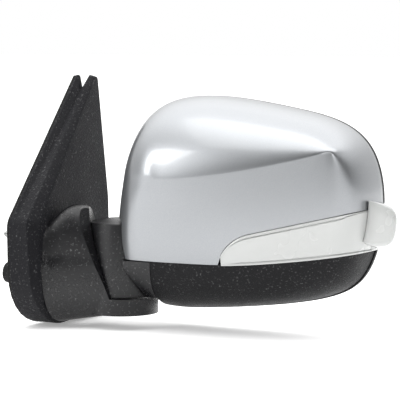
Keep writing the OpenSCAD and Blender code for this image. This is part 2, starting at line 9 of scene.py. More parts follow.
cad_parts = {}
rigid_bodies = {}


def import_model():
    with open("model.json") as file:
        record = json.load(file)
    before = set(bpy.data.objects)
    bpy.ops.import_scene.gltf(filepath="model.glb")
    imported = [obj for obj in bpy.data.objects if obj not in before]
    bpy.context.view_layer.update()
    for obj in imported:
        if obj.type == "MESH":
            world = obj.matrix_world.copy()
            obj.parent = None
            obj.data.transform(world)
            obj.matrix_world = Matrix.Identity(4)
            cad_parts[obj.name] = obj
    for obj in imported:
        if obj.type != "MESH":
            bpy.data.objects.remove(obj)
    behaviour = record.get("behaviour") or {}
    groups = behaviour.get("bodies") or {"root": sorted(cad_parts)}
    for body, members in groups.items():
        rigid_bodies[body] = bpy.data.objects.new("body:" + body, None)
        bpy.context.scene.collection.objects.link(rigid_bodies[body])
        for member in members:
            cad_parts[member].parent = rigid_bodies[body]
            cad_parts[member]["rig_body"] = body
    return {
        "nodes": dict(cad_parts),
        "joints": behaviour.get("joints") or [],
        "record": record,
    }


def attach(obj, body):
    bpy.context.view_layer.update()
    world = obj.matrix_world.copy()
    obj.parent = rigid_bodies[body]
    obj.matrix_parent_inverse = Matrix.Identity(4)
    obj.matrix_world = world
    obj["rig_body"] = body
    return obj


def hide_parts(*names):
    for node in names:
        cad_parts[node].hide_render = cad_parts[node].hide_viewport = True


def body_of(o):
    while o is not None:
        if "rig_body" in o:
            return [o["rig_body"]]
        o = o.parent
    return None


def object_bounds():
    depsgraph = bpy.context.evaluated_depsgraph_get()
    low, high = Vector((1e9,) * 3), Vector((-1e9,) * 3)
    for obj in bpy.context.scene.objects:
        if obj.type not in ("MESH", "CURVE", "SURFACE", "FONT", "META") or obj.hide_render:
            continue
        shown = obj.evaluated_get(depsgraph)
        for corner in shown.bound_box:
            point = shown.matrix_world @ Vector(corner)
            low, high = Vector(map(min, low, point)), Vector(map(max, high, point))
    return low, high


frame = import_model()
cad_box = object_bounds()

# Visual model of a folding car side mirror, built around its CAD frame. Lengths are in metres.
MM = 0.001

JOINTS = {joint["name"]: joint for joint in frame["joints"]}
MOUNTS = {mount["name"]: mount for mount in frame["record"]["mounts"]}
SLOTS = {part["node"]: part["material_slot"] for part in frame["record"]["subparts"]}
PIVOT_X, PIVOT_Y = JOINTS["fold"]["pos_m"][:2]

# ---- camera ----
VIEW_AZIMUTH, VIEW_ELEVATION = 28, 5
CAMERA_AIM = Vector((PIVOT_X + 81 * MM, 0, 66.5 * MM))
CAMERA_DISTANCE = 1.9
FRAME_WIDTH = 0.381
SENSOR = 36.0
FAR_CLIP = 20


def direction(azimuth, elevation):
    """Unit vector from the object to a place at these angles in degrees; 0, 0 is straight ahead."""
    a, e = math.radians(azimuth), math.radians(elevation)
    return Vector((math.sin(a) * math.cos(e), -math.cos(a) * math.cos(e), math.sin(e)))


def add_to_scene(name, data):
    obj = bpy.data.objects.new(name, data)
    bpy.context.scene.collection.objects.link(obj)
    return obj


def make_camera():
    data = bpy.data.cameras.new("camera")
    data.sensor_width = SENSOR
    data.lens = SENSOR * CAMERA_DISTANCE / FRAME_WIDTH
    data.clip_end = FAR_CLIP
    camera = add_to_scene("camera", data)
    back = direction(VIEW_AZIMUTH, VIEW_ELEVATION)
    camera.location = CAMERA_AIM + CAMERA_DISTANCE * back
    camera.rotation_euler = back.to_track_quat("Z", "Y").to_euler()
    bpy.context.scene.camera = camera


make_camera()

# ---- the head's surface: the same form as the CAD, sampled finely ----
HEAD_X, HEAD_Z, HEAD_W, HEAD_H, HEAD_D = 78 * MM, -47 * MM, 263 * MM, 214 * MM, 86 * MM
# The glass side's rim lies at RIM_Y, and the edge of the outer panels at TRIM_Y in front of it.
RIM_Y, TRIM_Y = 38 * MM, 33 * MM
RIM_FRACTIONS = [
    (0.033, 0.73), (0.008, 0.50), (0.00, 0.26), (0.04, 0.06), (0.19, 0.01), (0.43, 0.035),
    (0.665, 0.07), (0.865, 0.125), (0.955, 0.24), (0.995, 0.43), (1.00, 0.62), (0.955, 0.80),
    (0.83, 0.905), (0.63, 0.95), (0.43, 0.99), (0.24, 1.00), (0.10, 0.94),
]
RIM_CONTROL = np.array([(HEAD_X + f * HEAD_W, HEAD_Z + g * HEAD_H) for f, g in RIM_FRACTIONS])
RIM_STEPS = 480
TANGENT_STEP = 0.001
# Stretches of the rim, as places from 0 to 1, in which a dividing line crosses it once.
BOTTOM_STRETCH, OUTER_STRETCH = (0.14, 0.40), (0.30, 0.56)
HALVINGS = 30

CREASE_START = HEAD_X + 0.24 * HEAD_W
CREASE_END = HEAD_X + 0.90 * HEAD_W
CREASE_SOFT = 16 * MM
CREASE_Z, CREASE_RISE, CREASE_BEND = 89 * MM, 30 * MM, 1.6
CURVE_UP, CURVE_SIDE, CURVE_DOWN, CURVE_DEPTH = 1.5, 2.6, 3.8, 2.6
SWEEP_START, FRONT_SWEEP = 150 * MM, 0.9

NECK_R, NECK_TOP, NECK_FLOOR = 31 * MM, 42 * MM, -28 * MM
CUP_R, CUP_GAP = 35 * MM, 1 * MM
WELL_ROOM, WELL_DOME = 2 * MM, 7 * MM

WALL = 2.5 * MM
GAP = 0.5 * MM
HOUSING_STEP = 1.6 * MM
HOUSING_ROOM = 6 * MM
SPLIT_BASE_Z, SPLIT_RISE, SPLIT_BEND = 10 * MM, 15 * MM, 1.5
SPLIT_START, SPLIT_RUN = 195 * MM, 140 * MM

LENS_TIP_X, LENS_TIP_LEN, LENS_SLOPE, LENS_LINE_Z = 206 * MM, 30 * MM, 0.235, 33 * MM
LENS_PROUD, LENS_T = 1.2 * MM, 2.4 * MM
GROOVE_DEPTH, FIELD_DEPTH = 1.4 * MM, 0.25 * MM
LENS_TIP_ROOM = 2 * MM
STRIP_END = 0.003
SIDE_LOW_Z, SIDE_HIGH_Z, SIDE_BULGE = 28 * MM, 69 * MM, 24 * MM


def spline(t):
    """Points on the closed uniform cubic B-spline of the rim, as (x, z)."""
    n = len(RIM_CONTROL)
    s = np.asarray(t, float) % 1.0 * n
    i = np.floor(s).astype(int)
    f = (s - i)[..., None]
    c = [RIM_CONTROL[(i + k) % n] for k in range(4)]
    return (
        (1 - f) ** 3 * c[0]
        + (3 * f**3 - 6 * f**2 + 4) * c[1]
        + (-3 * f**3 + 3 * f**2 + 3 * f + 1) * c[2]
        + f**3 * c[3]
    ) / 6


def rim(t, inset=0.0):
    """The rim moved inward by the inset."""
    p = spline(t)
    d = spline(np.asarray(t) + TANGENT_STEP) - p
    d /= np.linalg.norm(d, axis=-1, keepdims=True)
    return p + inset * np.stack([-d[..., 1], d[..., 0]], -1)


def soft_above(v, low):
    """The value v, held above low with a soft bend."""
    return low + CREASE_SOFT * np.logaddexp(0, (v - low) / CREASE_SOFT)


def crease(x):
    """The point of the crease line from which the surface falls away to the rim at x."""
    x = -soft_above(-soft_above(x, CREASE_START), -CREASE_END)
    k = np.maximum(x - CREASE_START, 0) / (CREASE_END - CREASE_START)
    return np.stack([x, CREASE_Z + CREASE_RISE * k**CREASE_BEND], -1)


def front_depth(x):
    """Depth of the head at x: the front sweeps back outboard."""
    return HEAD_D - FRONT_SWEEP * np.maximum(x - SWEEP_START, 0) ** 2


def curve_power(t):
    """Fullness of the section from the crease to the rim, which depends on its direction."""
    r = rim(t)
    v = r - crease(r[..., 0])
    d = (v / np.linalg.norm(v, axis=-1, keepdims=True))[..., 1]
    up = np.maximum(d, 0) ** 2
    down = np.maximum(-d, 0) ** 2
    return CURVE_SIDE + (CURVE_UP - CURVE_SIDE) * up + (CURVE_DOWN - CURVE_SIDE) * down


def head_point(t, g, inset=0.0):
    """Point on the head's surface, at the fraction g from the crease to the rim."""
    t, g = np.broadcast_arrays(np.asarray(t, float), np.asarray(g, float))
    r = rim(t, inset)
    c = crease(r[..., 0])
    h = np.maximum(1 - g ** curve_power(t), 0) ** (1 / CURVE_DEPTH)
    q = c + (r - c) * g[..., None]
    y = RIM_Y - (front_depth(c[..., 0]) - inset) * h
    return np.stack([q[..., 0], y, q[..., 1]], -1)


def fraction_at_y(t, y):
    """The fraction at which the surface reaches a depth."""
    h = (RIM_Y - y) / front_depth(crease(rim(t)[..., 0])[..., 0])
    return (1 - h**CURVE_DEPTH) ** (1 / curve_power(t))


def fraction_where(t, before):
    """The fraction at which before(point) stops being true, found by halving."""
    lo, hi = np.zeros_like(t), np.ones_like(t)
    for _ in range(HALVINGS):
        mid = (lo + hi) / 2
        early = before(head_point(t, mid))
        lo, hi = np.where(early, mid, lo), np.where(early, hi, mid)
    return (lo + hi) / 2


def rim_place(stretch, before):
    """The place along the rim at which before(x, z) stops being true, found by halving."""
    lo, hi = stretch
    for _ in range(HALVINGS):
        mid = (lo + hi) / 2
        lo, hi = (mid, hi) if before(*spline(mid)) else (lo, mid)
    return lo


def split_z(x):
    """Height of the seam over the lower housing."""
    return SPLIT_BASE_Z + SPLIT_RISE * (np.maximum(x - SPLIT_START, 0) / SPLIT_RUN) ** SPLIT_BEND


def housing_top_z(x):
    return split_z(x) - GAP


def lens_top_z(x):
    """Height of the lens's upper edge, which meets the seam inboard of the lens's tip."""
    k = np.clip((x - LENS_TIP_X) / LENS_TIP_LEN, 0, 1)
    line = LENS_LINE_Z + LENS_SLOPE * (x - LENS_TIP_X)
    return split_z(x) + (line - split_z(x)) * np.sqrt(1 - (1 - k) ** 2)


def cap_low_z(x):
    return lens_top_z(x) + np.where(x > LENS_TIP_X, GAP, 0)


def edge_fraction(t, line):
    """The fraction at which the surface meets a dividing line, or the trim's edge if that is nearer."""
    return np.minimum(fraction_at_y(t, TRIM_Y), fraction_where(t, lambda p: p[..., 2] > line(p[..., 0])))


def outside_well(p):
    """True for points outside the domed opening that the cap leaves around the neck."""
    k = np.clip((p[..., 2] - NECK_TOP - WELL_ROOM) / WELL_DOME, 0, 1)
    reach = np.hypot(p[..., 0] - PIVOT_X, p[..., 1] - PIVOT_Y)
    return reach > (CUP_R + CUP_GAP) * np.sqrt(1 - k * k)


# ---- mesh helpers ----
BAKED_SHARP_ANGLE = 32
BEVEL_ANGLE, BEVEL_STEPS = 40, 3


def shade(mesh, sharp_angle):
    mesh.shade_smooth()
    mesh.set_sharp_from_angle(angle=math.radians(sharp_angle))


def coat(obj, look):
    """Gives an object one material."""
    obj.data.materials.clear()
    obj.data.materials.append(MATERIALS[look])


def new_object(name, points, faces, look, sharp_angle):
    mesh = bpy.data.meshes.new(name)
    mesh.from_pydata([tuple(p) for p in points], [], faces)
    mesh.validate()
    bm = bmesh.new()
    bm.from_mesh(mesh)
    bmesh.ops.recalc_face_normals(bm, faces=bm.faces)
    bm.to_mesh(mesh)
    bm.free()
    shade(mesh, sharp_angle)
    mesh.materials.append(MATERIALS[look])
    return add_to_scene(name, mesh)


def ring_faces(rings, count, closed):
    """Quads over a stack of closed rings with count points each."""
    faces = []
    for j in range(rings if closed else rings - 1):
        for i in range(count):
            a, b = j * count + i, j * count + (i + 1) % count
            k = (j + 1) % rings
            faces.append((a, b, k * count + (i + 1) % count, k * count + i))
    return faces


def zip_faces(count, start):
    """Quads that close a long narrow ring from its start to its far end."""
    last = start + count - 1
    return [(start + i, start + i + 1, last - i - 1, last - i) for i in range(count // 2 - 1)]


def loft(name, rings, look, closed=False, sharp_angle=35):
    rings = np.asarray(rings)
    m, n = rings.shape[:2]
    faces = ring_faces(m, n, closed)
    if not closed:
        faces += zip_faces(n, 0) + zip_faces(n, (m - 1) * n)
    return new_object(name, rings.reshape(-1, 3), faces, look, sharp_angle)


def finish_piece(obj, body, node_name):
    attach(obj, body)
    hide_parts(node_name)


def bake(obj, sharp_angle):
    """Keeps what an object's modifiers make as its own mesh."""
    bpy.context.view_layer.update()
    depsgraph = bpy.context.evaluated_depsgraph_get()
    mesh = bpy.data.meshes.new_from_object(obj.evaluated_get(depsgraph))
    obj.modifiers.clear()
    obj.data = mesh
    shade(mesh, sharp_angle)


def boolean(obj, other, operation):
    modifier = obj.modifiers.new("cut", "BOOLEAN")
    modifier.operation = operation
    modifier.object = other
    modifier.solver = "EXACT"
    bake(obj, BAKED_SHARP_ANGLE)
    bpy.data.objects.remove(other)


def round_edges(obj, width):
    bevel = obj.modifiers.new("soft", "BEVEL")
    bevel.width = width
    bevel.segments = BEVEL_STEPS
    bevel.limit_method = "ANGLE"
    bevel.angle_limit = math.radians(BEVEL_ANGLE)
    bake(obj, BAKED_SHARP_ANGLE)


def solid(name, build, matrix):
    """Mesh object made by a bmesh operator, used as a tool of a boolean."""
    bm = bmesh.new()
    build(bm)
    bmesh.ops.transform(bm, matrix=matrix, verts=bm.verts)
    mesh = bpy.data.meshes.new(name)
    bm.to_mesh(mesh)
    bm.free()
    return add_to_scene(name, mesh)


def pivot_cylinder(name, radius, low, high, segments=192):
    """Upright cylinder around the fold pivot."""
    place = Matrix.Translation((PIVOT_X, PIVOT_Y, (low + high) / 2))
    size = dict(cap_ends=True, segments=segments, radius1=radius, radius2=radius, depth=high - low)
    return solid(name, lambda bm: bmesh.ops.create_cone(bm, **size), place)


def block(name, low, high, turn=Matrix()):
    centre = (Vector(low) + Vector(high)) / 2
    scale = Matrix.Diagonal((*(Vector(high) - Vector(low)), 1))
    matrix = turn @ Matrix.Translation(centre) @ scale
    return solid(name, lambda bm: bmesh.ops.create_cube(bm, size=1), matrix)


# ---- materials ----
# Blender's noise lies mostly between these values, which vary() spreads over a socket's range.
NOISE_RANGE = (0.3, 0.7)
DUST_SCALE, DUST_GAIN, DUST_RANGE = 480, 0.09, (0.60, 0.80)
PATCH_SCALE = 22
FLAKE_SCALE, FLAKE_RANGE = 5200, (0.35, 0.65)


def material(name, base, roughness, metallic=0.0, **sockets):
    m = bpy.data.materials.new(name)
    m.use_nodes = True
    shader = m.node_tree.nodes["Principled BSDF"]
    shader.inputs["Base Color"].default_value = (*base, 1)
    shader.inputs["Roughness"].default_value = roughness
    shader.inputs["Metallic"].default_value = metallic
    for key, value in sockets.items():
        shader.inputs[key.replace("_", " ")].default_value = value
    return m


def add_node(m, kind, **settings):
    n = m.node_tree.nodes.new(kind)
    for key, value in settings.items():
        if key in n.inputs:
            n.inputs[key].default_value = value
        else:
            setattr(n, key, value)
    return n


def link(m, source, output, target, socket):
    m.node_tree.links.new(source.outputs[output], target.inputs[socket])


def link_shader(m, source, output, socket):
    link(m, source, output, m.node_tree.nodes["Principled BSDF"], socket)


def map_range(m, source, output, from_range, to_range):
    """Node that carries one range of values over to another."""
    spread = add_node(m, "ShaderNodeMapRange")
    ends = zip(("From Min", "From Max", "To Min", "To Max"), (*from_range, *to_range))
    for key, value in ends:
        spread.inputs[key].default_value = value
    link(m, source, output, spread, "Value")
    return spread


def noise(m, scale, detail=3.0, kind="ShaderNodeTexNoise"):
    """Texture fixed to the object, so that it moves with it."""
    texture = add_node(m, kind, Scale=scale, Detail=detail)
    link(m, add_node(m, "ShaderNodeTexCoord"), "Object", texture, "Vector")
    return texture


def add_bump(m, source, output, strength, distance):
    bump = add_node(m, "ShaderNodeBump", Strength=strength, Distance=distance)
    link(m, source, output, bump, "Height")
    link_shader(m, bump, "Normal", "Normal")


def vary_roughness(m, source, low, high):
    spread = map_range(m, source, "Fac", NOISE_RANGE, (low, high))
    link_shader(m, spread, "Result", "Roughness")


def mix_color(m, source, dark, light, places):
    """Colours a texture's values from dark to light between two places of its range."""
    ramp = add_node(m, "ShaderNodeValToRGB")
    for element, color, position in zip(ramp.color_ramp.elements, (dark, light), places):
        element.position = position
        element.color = (*color, 1)
    link(m, source, "Fac", ramp, "Fac")
    link_shader(m, ramp, "Color", "Base Color")


def silver_paint():
    """Metallic paint with fine flakes and a slightly uneven gloss."""
    m = material("silver_paint", (0.30, 0.31, 0.32), 0.34, 0.85, Coat_Weight=0.6, Coat_Roughness=0.08)
    flakes = noise(m, FLAKE_SCALE, 1.0)
    mix_color(m, flakes, (0.26, 0.27, 0.285), (0.34, 0.35, 0.36), FLAKE_RANGE)
    vary_roughness(m, noise(m, 9, 2.0), 0.31, 0.38)
    add_bump(m, flakes, "Fac", 0.03, 0.1 * MM)
    return m


def grained_plastic(name, base, grain, roughness, depth, shine=0.13):
    """Moulded plastic with a fine grain and a little dust."""
    m = material(name, base, roughness, Specular_IOR_Level=shine)
    cells = noise(m, grain, kind="ShaderNodeTexVoronoi")
    dust = noise(m, DUST_SCALE, 2.0)
    mix_color(m, dust, base, tuple(b + DUST_GAIN for b in base), DUST_RANGE)
    vary_roughness(m, noise(m, PATCH_SCALE), roughness - 0.06, roughness + 0.08)
    add_bump(m, cells, "Distance", depth, 0.4 * MM)
    return m


def clear_lens():
    """Slightly milky lens plastic under a gloss coat."""
    m = material(
        "clear_lens", (0.53, 0.54, 0.53), 0.26,
        IOR=1.49, Coat_Weight=0.6, Coat_Roughness=0.06, Transmission_Weight=0.08,
    )
    vary_roughness(m, noise(m, 35, 2.0), 0.18, 0.30)
    return m


def metal(name, base, roughness, grain, depth):
    m = material(name, base, roughness, 1.0)
    speckle = noise(m, grain)
    vary_roughness(m, speckle, roughness - 0.08, roughness + 0.1)
    add_bump(m, speckle, "Fac", depth, 0.3 * MM)
    return m


def mirror_coating():
    m = material("mirror_glass", (0.80, 0.84, 0.86), 0.015, 1.0, Coat_Weight=1.0, Coat_Roughness=0.01)
    vary_roughness(m, noise(m, 14, 2.0), 0.01, 0.03)
    return m


# A grained plastic has its colour, the grain's cells in a metre, its roughness and grain depth.
MATERIALS = {
    "silver_paint": silver_paint(),
    "grained_plastic": grained_plastic("grained_plastic", (0.008, 0.008, 0.009), 1500, 0.44, 0.5),
    "sail_plastic": grained_plastic("sail_plastic", (0.010, 0.010, 0.012), 620, 0.52, 0.8),
    "satin_plastic": grained_plastic("satin_plastic", (0.006, 0.006, 0.007), 1800, 0.27, 0.25, 0.42),
    "rubber": grained_plastic("rubber", (0.010, 0.010, 0.010), 1100, 0.72, 0.25),
    "grey_plastic": grained_plastic("grey_plastic", (0.09, 0.09, 0.10), 1500, 0.5, 0.3),
    "white_plastic": material("white_plastic", (0.78, 0.78, 0.75), 0.42, Subsurface_Weight=0.1),
    "clear_lens": clear_lens(),
    "chrome": material("chrome", (0.88, 0.88, 0.88), 0.12, 1.0),
    "cast_alloy": metal("cast_alloy", (0.50, 0.51, 0.53), 0.45, 400, 0.2),
    "zinc_steel": metal("zinc_steel", (0.66, 0.67, 0.66), 0.30, 900, 0.05),
    "spring_steel": metal("spring_steel", (0.30, 0.31, 0.32), 0.28, 900, 0.05),
    "circuit_board": grained_plastic("circuit_board", (0.02, 0.16, 0.05), 900, 0.35, 0.1),
    "led": material("led", (0.9, 0.62, 0.25), 0.15, Coat_Weight=0.5),
    "heater_film": grained_plastic("heater_film", (0.28, 0.13, 0.05), 500, 0.4, 0.1),
    "mirror_glass": mirror_coating(),
}

# ---- head pieces ----
# The cap is lofted from the crease, left a pinhole wide, to its edge. Each face ends just short
# of the edge, and the turn between them has (share of the way, share of the edge's size).
PINHOLE, OUTER_END, INNER_END = 0.002, 0.994, 0.998
CAP_TURN = [(0.9975, 0.12), (0.9992, 0.45), (1.0, 1.0)]
CAP_EDGE, HOUSING_EDGE = 0.5 * MM, 0.6 * MM
CAP_LAYERS, CAP_INNER_SKIP, HOUSING_LAYERS, LENS_LAYERS = 56, 4, 36, 30
PANEL_SHARP_ANGLE = 60
STRIP_STEPS, STRIP_SPACING, MOST_EXTRA = 260, 1.3, 0.3


def cap_section():
    """(fraction, inset) pairs: outer face, softened edge, and inner face."""
    shares = 1 - (1 - np.linspace(0, 1, CAP_LAYERS)) ** 2
    outer = [(PINHOLE + (OUTER_END - PINHOLE) * v, 0.0) for v in shares]
    turn = [(share, depth * CAP_EDGE) for share, depth in CAP_TURN]
    inner = [(PINHOLE + (INNER_END - PINHOLE) * v, WALL) for v in shares[::-1][::CAP_INNER_SKIP]]
    return outer + turn + inner


def make_cap():
    t = np.arange(RIM_STEPS) / RIM_STEPS
    edge = np.minimum(edge_fraction(t, cap_low_z), fraction_where(t, outside_well))
    rings = [head_point(t, edge * g, inset) for g, inset in cap_section()]
    cap = loft("cap_skin", rings, "silver_paint", sharp_angle=PANEL_SHARP_ANGLE)
    finish_piece(cap, "head", "shell_cap")


def strip(name, ends, upper, lower, section, look, steps=STRIP_STEPS):
    """Panel along the rim between two dividing lines, or down to the trim's edge without a lower one.

    The section is a list of (share of the height, extra distance in metres, inset).
    """
    t = ends[0] + (ends[1] - ends[0]) * np.linspace(0, 1, steps) ** STRIP_SPACING
    g0 = edge_fraction(t, upper)
    g1 = edge_fraction(t, lower) if lower else fraction_at_y(t, TRIM_Y)
    height = np.linalg.norm(head_point(t, g1) - head_point(t, g0), axis=-1)
    rings = []
    for share, extra, inset in section:
        v = np.clip(share + np.clip(extra / height, -MOST_EXTRA, MOST_EXTRA), 0, 1)
        rings.append(head_point(t, g0 + (g1 - g0) * v, inset))
    return loft(name, np.stack(rings, 1), look, sharp_angle=PANEL_SHARP_ANGLE)


def housing_section():
    """Outer face with rounded edges, then the inner face on the way back."""
    turn = [(0, 1), (0.12, 0.35), (0.5, 0.05)]
    edge = [(along * HOUSING_EDGE, HOUSING_STEP + down * HOUSING_EDGE) for along, down in turn]
    section = [(0, extra, inset) for extra, inset in edge]
    section += [(v, 0, HOUSING_STEP) for v in np.linspace(0, 1, HOUSING_LAYERS)[1:-1]]
    section += [(1, -extra, inset) for extra, inset in edge[::-1]]
    section += [(v, 0, HOUSING_STEP + WALL) for v in np.linspace(1, 0, len(section))]
    return section


def make_housing():
    t0 = rim_place(BOTTOM_STRETCH, lambda x, z: x < PIVOT_X + CUP_R + HOUSING_ROOM)
    t1 = rim_place(OUTER_STRETCH, lambda x, z: z < housing_top_z(x)) - STRIP_END
    housing = strip("housing_skin", (t0, t1), housing_top_z, None, housing_section(), "grained_plastic")
    finish_piece(housing, "head", "lower_housing")


def lens_ends():
    t0 = rim_place(BOTTOM_STRETCH, lambda x, z: x < LENS_TIP_X + LENS_TIP_ROOM)
    t1 = rim_place(OUTER_STRETCH, lambda x, z: z < lens_top_z(x)) - STRIP_END
    return t0, t1


def make_lens():
    """Clear cover with a raised border and a groove inside it."""
    border, groove, field = -LENS_PROUD, GROOVE_DEPTH - LENS_PROUD, FIELD_DEPTH - LENS_PROUD
    edge = [
        (0.0, border + 0.5 * MM), (0.2 * MM, border), (1.8 * MM, border),
        (2.2 * MM, groove), (3.0 * MM, groove), (3.6 * MM, field),
    ]
    section = [(0, extra, inset) for extra, inset in edge]
    section += [(v, 0, field) for v in np.linspace(0, 1, LENS_LAYERS)[3:-3]]
    section += [(1, -extra, inset) for extra, inset in edge[::-1]]
    section += [(v, 0, LENS_T - LENS_PROUD) for v in np.linspace(1, 0, len(section))]
    lens = strip("lens_skin", lens_ends(), lens_top_z, split_z, section, "clear_lens")
    finish_piece(lens, "head", "signal_lens")


NUB_START, NUB_SKIN, NUB_BASE, NUB_SHORT = 0.92, 0.8 * MM, 0.2 * MM, 1 * MM
NUB_STEPS, NUB_LAYERS = 90, 40
NUB_END_POWERS, NUB_SWELL_POWERS = (3.2, 0.45), (0.9, 0.5)


def eased(count):
    """Shares from 0 to 1 that crowd together at both ends."""
    return (1 - np.cos(math.pi * np.linspace(0, 1, count))) / 2


def make_side_lens():
    """Nub at the lens's end: it swells outboard past the head's rim."""
    t0 = rim_place(OUTER_STRETCH, lambda x, z: z < SIDE_LOW_Z)
    t1 = rim_place(OUTER_STRETCH, lambda x, z: z < SIDE_HIGH_Z)
    k = eased(NUB_STEPS)
    t = t0 + (t1 - t0) * k
    swell = SIDE_BULGE * (1 - np.abs(2 * k - 1) ** NUB_END_POWERS[0]) ** NUB_END_POWERS[1]
    last = fraction_at_y(t, TRIM_Y - NUB_SHORT)
    out = rim(t, -1.0) - rim(t)
    across = eased(NUB_LAYERS)
    rings = []
    for v in across:
        h = swell * math.sin(math.pi * v ** NUB_SWELL_POWERS[0]) ** NUB_SWELL_POWERS[1]
        point = head_point(t, last * (NUB_START + (1 - NUB_START) * v), -LENS_PROUD - NUB_SKIN)
        point[..., 0] += h * out[..., 0]
        point[..., 2] += h * out[..., 1]
        rings.append(point)
    for v in across[::-1]:
        rings.append(head_point(t, last * (NUB_START + (1 - NUB_START) * v), -LENS_PROUD - NUB_BASE))
    nub = loft("side_lens_skin", np.stack(rings, 1), "clear_lens", sharp_angle=PANEL_SHARP_ANGLE)
    finish_piece(nub, "head", "side_lens")


RIB_COUNT, RIB_DEPTH, RIB_LAYERS = 20, 0.4 * MM, 161
REFLECTOR_DEPTH, REFLECTOR_BACK, REFLECTOR_SHORT, REFLECTOR_STEPS = 7.4 * MM, 8.2 * MM, 0.015, 120


def make_reflector():
    """Bright inner tray of the lens, with fine ribs along its length."""
    t0, t1 = lens_ends()
    shares = np.linspace(0, 1, RIB_LAYERS)
    ribs = [(v, 0, REFLECTOR_DEPTH - RIB_DEPTH * math.cos(2 * math.pi * RIB_COUNT * v)) for v in shares]
    section = ribs + [(v, 0, REFLECTOR_BACK) for v in shares[::-1]]
    ends = (t0 + REFLECTOR_SHORT, t1 - REFLECTOR_SHORT)
    tray = strip("reflector_skin", ends, lens_top_z, split_z, section, "chrome", steps=REFLECTOR_STEPS)
    finish_piece(tray, "head", "signal_reflector")


def make_bezel():
    """Rim around the glass, with rounded edges: (share of its depth, inset in mm) around the section."""
    t = np.arange(RIM_STEPS) / RIM_STEPS
    section = [
        (0.0, 0.9), (0.05, 0.6), (0.3, 0.6), (0.6, 0.6), (0.9, 0.6), (0.97, 0.75), (1.0, 1.3),
        (1.0, 2.4), (0.98, 3.4), (0.93, 4.2), (0.85, 4.5), (0.5, 4.5), (0.0, 4.5),
    ]
    rings = []
    for share, inset in section:
        g = fraction_at_y(t, TRIM_Y + GAP + (RIM_Y - TRIM_Y - GAP) * share)
        rings.append(head_point(t, g, inset * MM))
    bezel = loft("bezel_ring", np.stack(rings, 1), "grained_plastic", closed=True, sharp_angle=50)
    finish_piece(bezel, "head", "glass_bezel")


make_cap()
make_housing()
make_lens()
make_side_lens()
make_reflector()
make_bezel()

# ---- base: sail cover ----
GASKET_T, SAIL_T, SAIL_WALL = 3 * MM, 14 * MM, 3 * MM
SAIL_FRONT, SAIL_REAR, SAIL_TOP, SAIL_LOW = -84 * MM, 62 * MM, 179 * MM, -60 * MM
BEVEL_W, BEVEL_DEPTH, PANEL_LEAN = 12 * MM, 6 * MM, 0.06
FLANGE_T, NOTCH_H = 2.4 * MM, 6.4 * MM
PEAK_Y, PEAK_Z, PEAK_R = SAIL_REAR - 8 * MM, SAIL_TOP + 9 * MM, 4 * MM
# Corners in the YZ plane with their rounding radii: of the cover's rim, the flange behind it,
# the notch between them, and the panel.
REAR_CORNER = (SAIL_REAR, 60 * MM, 40 * MM)
LOW_CORNERS = [
    (SAIL_FRONT, 45 * MM, 16 * MM),
    (SAIL_FRONT + 2 * MM, SAIL_LOW, 54 * MM),
    (SAIL_REAR - 6 * MM, SAIL_LOW + 7 * MM, 18 * MM),
    REAR_CORNER,
]
SAIL_CORNERS = LOW_CORNERS + [(PEAK_Y, PEAK_Z, PEAK_R)]
FLANGE_CORNERS = LOW_CORNERS + [(PEAK_Y - 10 * MM, PEAK_Z, PEAK_R)]
NOTCH_CORNERS = LOW_CORNERS + [(PEAK_Y - 11 * MM, PEAK_Z - 15 * MM, PEAK_R)]
PANEL_CORNERS = [
    (SAIL_FRONT + BEVEL_W, 41 * MM, 10 * MM),
    (SAIL_FRONT + BEVEL_W, SAIL_LOW + 8 * MM, 46 * MM),
    (SAIL_REAR - 7 * MM, SAIL_LOW + 11 * MM, 16 * MM),
    REAR_CORNER,
    (PEAK_Y, PEAK_Z - 1 * MM, PEAK_R),
]
CORNER_STEPS, LEAST_RADIUS = 15, 1 * MM


def unit(v):
    return v / np.linalg.norm(v)


def rounded_outline(corners, inset=0.0):
    """Closed outline with an arc at each corner, moved inward by the inset."""
    points = []
    for i, corner in enumerate(corners):
        c = np.array(corner[:2])
        u = unit(np.array(corners[i - 1][:2]) - c)
        v = unit(np.array(corners[(i + 1) % len(corners)][:2]) - c)
        half = math.acos(u @ v) / 2
        radius = max(corner[2] - inset, LEAST_RADIUS)
        centre = c + unit(u + v) * (radius + inset) / math.sin(half)
        side = np.sign(u[0] * v[1] - u[1] * v[0])
        start = math.atan2(-u[0] * side, u[1] * side)
        turn = math.pi - 2 * half
        for j in range(CORNER_STEPS + 1):
            a = start + turn * j / CORNER_STEPS
            points.append(centre + radius * np.array((math.cos(a), math.sin(a))))
    return np.array(points)


def panel_x(z):
    """The sail's outer face, which leans toward the door higher up."""
    return SAIL_T + BEVEL_DEPTH + PANEL_LEAN * (SAIL_TOP - z)


def leaning_ring(depth, outline):
    return np.column_stack([panel_x(outline[:, 1]) - depth, outline])


def leaning(depth, corners, inset=0.0):
    """Ring parallel to the outer face."""
    return leaning_ring(depth, rounded_outline(corners, inset))


def upright(height, corners, inset=0.0):
    """Ring parallel to the door, at a height over the gasket."""
    outline = rounded_outline(corners, inset)
    return np.column_stack([np.full(len(outline), GASKET_T + height), outline])


def bevel_ring(share):
    """Ring part of the way down the bevel, from the panel to the rim."""
    panel, rim_line = rounded_outline(PANEL_CORNERS), rounded_outline(SAIL_CORNERS)
    return leaning_ring(BEVEL_DEPTH * share, panel + (rim_line - panel) * share)


